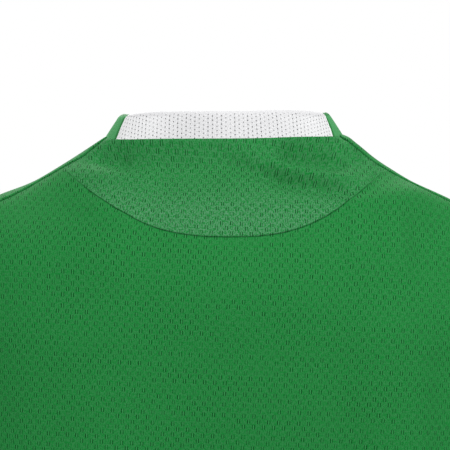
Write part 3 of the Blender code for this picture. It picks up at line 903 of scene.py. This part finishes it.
def inner_shoulder(side):
    """Turns and rolls of a side's shoulder seam from the neckline to the yoke's end."""
    start = NECK_JOIN[side]
    near = NECK_HALF_WIDTH[side] * math.cos(start)
    turns, rolls = shoulder_line(side, near, YOKE_ENDS[side][0], YOKE_ROWS)
    neck_turn, rolls[0] = neck_curve(1, start if side > 0 else math.pi - start)
    turns[0] = abs(neck_turn)
    return turns, rolls


# The yoke's larger share of pale specks, and their growth further down, are painted sheen.
yoke_mesh = eyelet_mesh("green_yoke_mesh", 0.36, 0.020)
inner_shoulders = [inner_shoulder(side) for side in SIDES]
back_neck = neck_curve(1, np.linspace(NECK_JOIN[1], math.pi - NECK_JOIN[-1], COLUMNS + 1))
yoke_middle = middle_line([YOKE_ROWS], [NECK_BACK_ROLL, moon_middle])
yoke_angles = seamed(panel(back_neck, moon, inner_shoulders, yoke_middle), SEAM_LINES)
back_yoke, _ = cut_piece(
    "back_yoke_mesh", torso(*yoke_angles), torso_normal(*yoke_angles),
    ("neck", "moon", "under", "under"), grain(yoke_angles, 1), yoke_mesh,
)
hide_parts("back_yoke")

# Front panel: one width of the eyelet mesh that wraps over the shoulders to a seam just behind the
# crest, with a round neck and a hem like the back's.
FRONT_MIDDLE_ROLLS = np.radians((-68.0, -82.0))


def whole_neck(angle):
    """Turns and rolls of the neckline at angles round the front, which run on behind both sides."""
    beyond = np.where(angle < 0, -angle, 2 * math.pi - angle)
    behind = neck_curve(1, np.clip(beyond, 0, math.pi))
    ahead = neck_curve(-1, np.clip(angle, 0, math.pi))
    back = (angle < 0) | (angle > math.pi)
    return [np.where(back, *values) for values in zip(behind, ahead)]


neck_ends = (-NECK_JOIN[1], math.pi + NECK_JOIN[-1])
front_neck = whole_neck(even_steps(whole_neck, COLUMNS, *neck_ends))
front_edges = [
    joined(inner, outer, armhole_line(side, -1), side_line(-1))
    for side, inner, outer in zip(SIDES, inner_shoulders, outer_shoulders)
]
front_middle = middle_line(
    [YOKE_ROWS, SHOULDER_ROWS, ARMHOLE_ROWS, SIDE_ROWS],
    [-NECK_FRONT_ROLL, *FRONT_MIDDLE_ROLLS, -UNDERARM_ROLL - UNDERARM_DIP, -HEM_ROLL],
)
front_angles = seamed(panel(front_neck, flat_line(-1), front_edges, front_middle), HEM_LINES)
front_angles = [layer[:, ::-1] for layer in front_angles]
front_panel, front_hem = cut_piece(
    "front_panel_mesh", torso(*front_angles), torso_normal(*front_angles),
    ("neck", "hem", "over", "over"), grain(front_angles, -1), body_mesh, "front_hem_stitches",
)
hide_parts("front_panel")

# Sleeves: short set-in sleeves of the eyelet mesh, each cut in one piece, closed by a seam under
# the arm and sewn into the armhole, with the cuff turned up and sewn with two needles.
CUFF_CENTRE = (0.318, 0.000, -0.305)
CUFF_RADIUS = 0.0605
CUFF_SLANT = math.radians(45.0)
SLEEVE_FALL = math.radians(54.0)
CAP_FALL = math.radians(26.0)
UNDERARM_FALL = math.radians(12.0)
SLEEVE_ROWS = 72
SLEEVE_COLUMNS = 96
SEAM_PLACE = 0.04
SLEEVE_FOLD_START = 0.7
LEAST_SLEEVE_ACROSS = 0.3
SLEEVE_FOLDS = [
    # place round the sleeve (0 at the top, 0.5 underneath), half breadth, height at the cuff
    (0.16, 0.060, -0.0050),
    (0.30, 0.060, 0.0045),
    (0.42, 0.050, -0.0050),
    (0.63, 0.060, -0.0045),
    (0.74, 0.060, 0.0050),
    (0.88, 0.060, -0.0040),
]


def sleeve_rings(side):
    """Rings of a sleeve's outer points from the armhole to the cuff, from its seam round to it."""
    back, front = (
        torso(side * turns, rolls)
        for turns, rolls in (armhole_line(side, face, SLEEVE_COLUMNS) for face in (1, -1))
    )
    start = np.concatenate([back[:-1], front[:0:-1]])
    run = running(lengths(np.concatenate([start, start[:1]])))
    place = run[:-1] / run[-1] + SEAM_PLACE
    angle = 2 * math.pi * place
    over = np.cos(angle)
    round_cuff = [over * math.cos(CUFF_SLANT), np.sin(angle), over * math.sin(CUFF_SLANT)]
    cuff = CUFF_CENTRE + CUFF_RADIUS * np.stack(round_cuff, axis=-1)
    high = (1 + over) / 2
    fall = UNDERARM_FALL + (CAP_FALL - UNDERARM_FALL) * high
    leave = np.stack([np.cos(fall), np.zeros_like(fall), -np.sin(fall)], axis=-1)
    arrive = np.array([math.cos(SLEEVE_FALL), 0, -math.sin(SLEEVE_FALL)])
    mirror = np.array([side, 1, 1])
    cuff, leave, arrive = cuff * mirror, leave * mirror, arrive * mirror
    length = np.linalg.norm(cuff - start, axis=1)[:, None]
    part = np.linspace(0, 1, SLEEVE_ROWS + 1)[:, None, None]
    rings = swept(start, leave * length, cuff, arrive * length, part)
    out = unit(rings - rings.mean(axis=1, keepdims=True))
    lift = np.zeros_like(place)
    for where, breadth, height in SLEEVE_FOLDS:
        away = (place - where + 0.5) % 1 - 0.5
        lift = lift + height * np.exp(-(away / breadth) ** 2)
    rings = rings + out * lift[None, :, None] * ease(part / SLEEVE_FOLD_START)
    rings = np.roll(rings, -SLEEVE_COLUMNS, axis=1)
    rings = np.concatenate([rings, rings[:, :1]], axis=1)
    return rings if side > 0 else rings[:, ::-1]


def grid_normals(points):
    """Outward directions at a grid's points, from its own lines."""
    return unit(np.cross(np.gradient(points, axis=0), np.gradient(points, axis=1)))


def sleeve_grain(points):
    """Each point's place across and up a sleeve's flat cloth."""
    _, up, _, _ = edge_runs(points)
    steps = lengths(points, 1)
    level = np.maximum(steps**2 - np.diff(up, axis=1) ** 2, (LEAST_SLEEVE_ACROSS * steps) ** 2)
    across = running(np.sqrt(level), 1)
    return across - across[:, across.shape[1] // 2, None], -up


for name, side in (("sleeve_left", 1), ("sleeve_right", -1)):
    (rings,) = seamed([sleeve_rings(side)], HEM_LINES, lambda points: points)
    sleeve, hem = cut_piece(
        name + "_mesh", rings, grid_normals(rings),
        ("over", "hem", "moon", "moon"), sleeve_grain(rings), body_mesh, name + "_stitches",
    )
    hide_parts(name)

# Collar: a stand band cut double, folded along its top edge and sewn into the neckline. Its back
# length is white pinhole mesh, and its sides and front are one length of smooth green knit.
COLLAR_WIDTH = 0.0249
COLLAR_DEPTH = 0.0024
COLLAR_TUCK = 0.0010
COLLAR_LEAN = {"back": 17.0, "side": 34.0, "front": 24.0}
COLLAR_TURN = {"back": 48.0, "side": 58.0, "front": 52.0}
COLLAR_TURN_START = 0.0172
COLLAR_SINK = 0.0004
SIDE_POWER = 6
RIGHT_TAPER = 0.10
RIGHT_TAPER_FROM = 0.4
RIGHT_TAPER_TO = 0.9
COLLAR_ROWS = 30
COLLAR_JOINS = {
    # side: degrees round the neck from the wearer's left, and by how many its top leans on
    1: (24.8, -2.5),
    -1: (180 - 23.8, 5.0),
}
JOIN_RADIUS = 0.0006
JOIN_LINES = (0.0, 0.0003, 0.0007, 0.0012, 0.0020)
JOIN_PUCKER = 0.4
JOIN_PUCKER_STARTS = (0.7, 2.7)
JOIN_PLAIN_AND_SHADE = (0.0021, 0.0003)
END_PLAIN = (0.045, 0.040)
FOLD_PLAIN_AND_SHADE = (0.0050, 0.0025)


def neck_points(angle):
    """Points of the neckline at angles all round: the back's half turn, then the front's."""
    return plain_torso(*whole_neck((math.pi - angle) % (2 * math.pi) - math.pi))


def round_neck(degrees, angle):
    """An angle of the band round the neck, from its degrees at the back, sides and front."""
    end = np.where(np.sin(angle) >= 0, degrees["back"], degrees["front"])
    return np.radians(end + (degrees["side"] - end) * np.cos(angle) ** SIDE_POWER)


def band_points(angle, height):
    """Points of the collar's middle sheet, their outward directions and the sheet's lean."""
    along = unit(neck_points(angle + SMALL_ANGLE) - neck_points(angle - SMALL_ANGLE))
    inward = np.stack([-np.cos(angle), -np.sin(angle), np.zeros_like(angle)], axis=-1)
    inward = unit(inward - along * np.sum(inward * along, axis=-1, keepdims=True))
    upward = np.cross(along, inward)
    upward *= np.sign(upward[..., 2:])
    lean = round_neck(COLLAR_LEAN, angle)
    turn = round_neck(COLLAR_TURN, angle)
    right = (-np.cos(angle) - RIGHT_TAPER_FROM) / (RIGHT_TAPER_TO - RIGHT_TAPER_FROM)
    height = height * (1 - RIGHT_TAPER * ease(right))
    span = COLLAR_WIDTH - COLLAR_TURN_START
    passed = np.maximum(height - COLLAR_TURN_START, 0)
    straight = np.minimum(height, COLLAR_TURN_START)
    now = lean + turn * passed / span
    radius = span / turn
    way_in = straight * np.sin(lean) + radius * (np.cos(lean) - np.cos(now))
    way_up = straight * np.cos(lean) + radius * (np.sin(now) - np.sin(lean))
    points = neck_points(angle) + inward * way_in[..., None] + upward * way_up[..., None]
    return points, upward * np.sin(now)[..., None] - inward * np.cos(now)[..., None], lean


def flat_band(angle, height):
    """Places of the band's points on its flat cloth, where the cut band curves up at its ends."""
    base, _, lean = band_points(angle[-1], np.zeros_like(angle[-1]))
    steps = np.diff(base, axis=0)
    length = lengths(base)
    heading = np.unwrap(np.arctan2(steps[:, 1], steps[:, 0]))
    middle = len(length) // 2
    bend = running(np.sin(lean[1:-1]) * np.diff(heading))
    bend = bend - bend[middle]
    slopes = np.concatenate([bend[:1], (bend[1:] + bend[:-1]) / 2, bend[-1:]])
    u = running(length * np.cos(bend))
    v = running(length * np.sin(bend))
    u, v, slope = (
        np.interp(angle, angle[-1], line) for line in (u - u[middle], v - v[middle], slopes)
    )
    return u - height * np.sin(slope), v + height * np.cos(slope)


def collar_band(name, start, end, plain_ends, material):
    """One length of the folded band between two slanted joins, with its places on the flat cloth.
    """
    rise = np.sin(np.linspace(math.pi / 2, 0, COLLAR_ROWS + 1))
    height = (rise * (COLLAR_WIDTH + COLLAR_TUCK) - COLLAR_TUCK)[:, None]
    up = np.clip(height / COLLAR_WIDTH, 0, 1)
    first, last = (np.radians(place + lean * up) for place, lean in (start, end))
    columns = int((end[0] - start[0]) / 180 * COLUMNS)
    angle = first + (last - first) * np.linspace(0, 1, columns + 1)
    height = height + 0 * angle
    grid, _, _ = band_points(angle, np.maximum(height, 0))
    turned = relaid([angle.T, height.T], grid.swapaxes(0, 1), JOIN_LINES, JOIN_LINES)
    angle, height = (layer.T for layer in turned)
    grid, out, _ = band_points(angle, height)
    from_ends = edge_runs(grid)[2:]
    radius = COLLAR_DEPTH / 2
    near_top = np.clip((height - (COLLAR_WIDTH - radius)) / radius, 0, 1)
    half = radius * np.sqrt(1 - near_top**2)
    sink = COLLAR_SINK * (1 - np.clip(height / COLLAR_WIDTH, 0, 1)) ** 2
    joins = sum(rolled_edge(run, JOIN_RADIUS) for run in from_ends)
    waves = JOIN_PUCKER * sum(
        puckered(height, run, phase) for run, phase in zip(from_ends, JOIN_PUCKER_STARTS)
    )
    lift = half - radius - sink + (waves - joins) * (1 - near_top)
    outer = grid + out * lift[..., None]
    inner = grid - out * (half + radius - joins / 2)[..., None]
    # The white knit has no holes at the joins, towards some ends and, as values below 0, at the
    # fold, and is paler at the first two. The green knit takes painted shade at its joins and fold.
    near_edges = within(np.minimum(*from_ends), *JOIN_PLAIN_AND_SHADE)
    for share, run in zip(plain_ends, from_ends):
        near_edges = np.maximum(near_edges, share * within(run, *END_PLAIN))
    folded = within(COLLAR_WIDTH - height, *FOLD_PLAIN_AND_SHADE)
    plain = near_edges * (1 - folded) - folded
    band = shell(name, outer, inner, flat_band(angle, height), plain, material)
    return band


WHITE = (0.92, 0.92, 0.93, 1)
WHITE_DEEP = (0.57, 0.57, 0.58, 1)
PINHOLE_SHADE = (0.07, 0.07, 0.075, 1)
PINHOLE_PITCH = 0.0070
PINHOLE_ROW = 0.00175


def pinhole_mesh():
    """White knit with small round holes in staggered columns, and chevrons between them."""
    knit = Finish("white_pinhole_mesh", Specular_IOR_Level=0.1)
    u, v, plain = knit.grain()
    row, column, across, along = staggered(knit, u, v, PINHOLE_PITCH, PINHOLE_ROW)
    away = knit.maths("SQRT", across * across + along * along * 0.7)
    single = knit.noise(column * 3.3, row * 5.9)
    stripes = knit.noise(u * 200.0, v * 18.0)
    opened = knit.step(single * 0.4 + stripes * 0.6, 0.36, 0.62) * 0.45 + 0.55
    worked = knit.step(plain, 0.95, 0.65) * knit.step(plain, -0.85, -0.45)
    hole = knit.step(away, 0.60, 0.28) * opened * worked
    between = knit.maths("PINGPONG", u, PINHOLE_PITCH / 4)
    chevron = knit.maths("SINE", (v + between * 2.2) * (math.pi / PINHOLE_ROW))
    fibres = knit.noise(u * 1300.0, v * 900.0, detail=2.0)
    streak = knit.step(between, 0.0008, 0.0002) * knit.step(stripes, 0.40, 0.60) * worked
    loops = knit.step(chevron * 0.05 + fibres, 0.25, 0.75)
    tone = (loops * 0.6 + 0.05) * (1 - streak * 0.7) + knit.step(plain, 0.0, 0.55) * 0.5
    colour = knit.mixed(hole, knit.mixed(tone, WHITE_DEEP, WHITE), PINHOLE_SHADE)
    return knit.wear(colour, fibres * 0.1 + 0.65, tone * 0.2 - hole * 0.8, 0.0004)


KNIT_GREEN = (0.056, 0.300, 0.096, 1)
KNIT_LIGHT = (0.088, 0.365, 0.134, 1)
KNIT_PAINTED_SHADE = (0.020, 0.170, 0.040, 1)
KNIT_RIB = 0.0009


def smooth_knit():
    """Fine green knit with close upright ribs of loops, and painted shade at its joins and fold."""
    knit = Finish("green_collar_knit", Specular_IOR_Level=0.06)
    u, v, plain = knit.grain()
    wales = knit.maths("SINE", u * (2 * math.pi / KNIT_RIB))
    fibres = knit.noise(u * 1100.0, v * 700.0, detail=2.0)
    tone = knit.step(wales * 0.15 + fibres, 0.25, 0.75)
    near_edges = knit.step(knit.maths("ABSOLUTE", plain), 0.2, 0.8) * 0.85
    # Painted shade darkens the green at the joins and the fold.
    colour = knit.mixed(near_edges, knit.mixed(tone, KNIT_GREEN, KNIT_LIGHT), KNIT_PAINTED_SHADE)
    return knit.wear(colour, fibres * 0.1 + 0.6, wales * 0.06 + fibres * 0.15, 0.0003)


collar_back = collar_band(
    "collar_back_mesh", COLLAR_JOINS[1], COLLAR_JOINS[-1], (0.55, 0.35), pinhole_mesh(),
)
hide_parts("collar_back")
left_place, left_lean = COLLAR_JOINS[1]
collar_front = collar_band(
    "collar_front_knit", COLLAR_JOINS[-1], (360 + left_place, left_lean), (0.0, 0.0),
    smooth_knit(),
)
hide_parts("collar_front")

# Studio: a plain pale floor below the hem, white surroundings, and large soft lamps above, at both
# sides and beyond the jersey. None of it is part of the jersey.
FLOOR_LEVEL = HEM_LEVEL - 0.03

bpy.ops.object.select_all(action="DESELECT")
bpy.ops.mesh.primitive_plane_add(size=12, location=(0, 0, FLOOR_LEVEL))
floor = bpy.context.object
floor.name = "floor"
pale_floor = Finish(
    "pale_floor", Base_Color=(0.82, 0.82, 0.82, 1), Roughness=0.9, Specular_IOR_Level=0.1
)
floor.data.materials.append(pale_floor.material)

LAMPS = [
    # name, place, aim, size, power
    ("top_lamp", (0.0, 1.2, 2.2), (0.0, 0.05, -0.1), 1.2, 34.0),
    ("right_lamp", (-1.8, 2.0, 0.8), (0.0, 0.05, -0.1), 1.2, 20.0),
    ("left_lamp", (1.8, 2.0, -0.2), (0.0, 0.05, -0.2), 1.2, 3.2),
    ("rim_lamp", (0.2, -2.9, 2.1), (0.0, -0.05, -0.15), 1.8, 105.0),
]
for name, place, target, size, power in LAMPS:
    light = bpy.data.lights.new(name, "AREA")
    light.size = size
    light.energy = power
    aimed(name, light, place, target)

WORLD_STRENGTHS = (0.52, 1.0)  # as light on the jersey, and as the camera sees it

world = bpy.data.worlds.new("white_studio")
world.use_nodes = True
bpy.context.scene.world = world
tree = world.node_tree
path = tree.nodes.new("ShaderNodeLightPath")
mix = tree.nodes.new("ShaderNodeMixShader")
tree.links.new(path.outputs["Is Camera Ray"], mix.inputs[0])
backgrounds = (tree.nodes["Background"], tree.nodes.new("ShaderNodeBackground"))
for background, strength, socket in zip(backgrounds, WORLD_STRENGTHS, mix.inputs[1:]):
    background.inputs["Color"].default_value = (1, 1, 1, 1)
    background.inputs["Strength"].default_value = strength
    tree.links.new(background.outputs[0], socket)
tree.links.new(mix.outputs[0], tree.nodes["World Output"].inputs[0])
bpy.context.scene.view_settings.view_transform = "Standard"
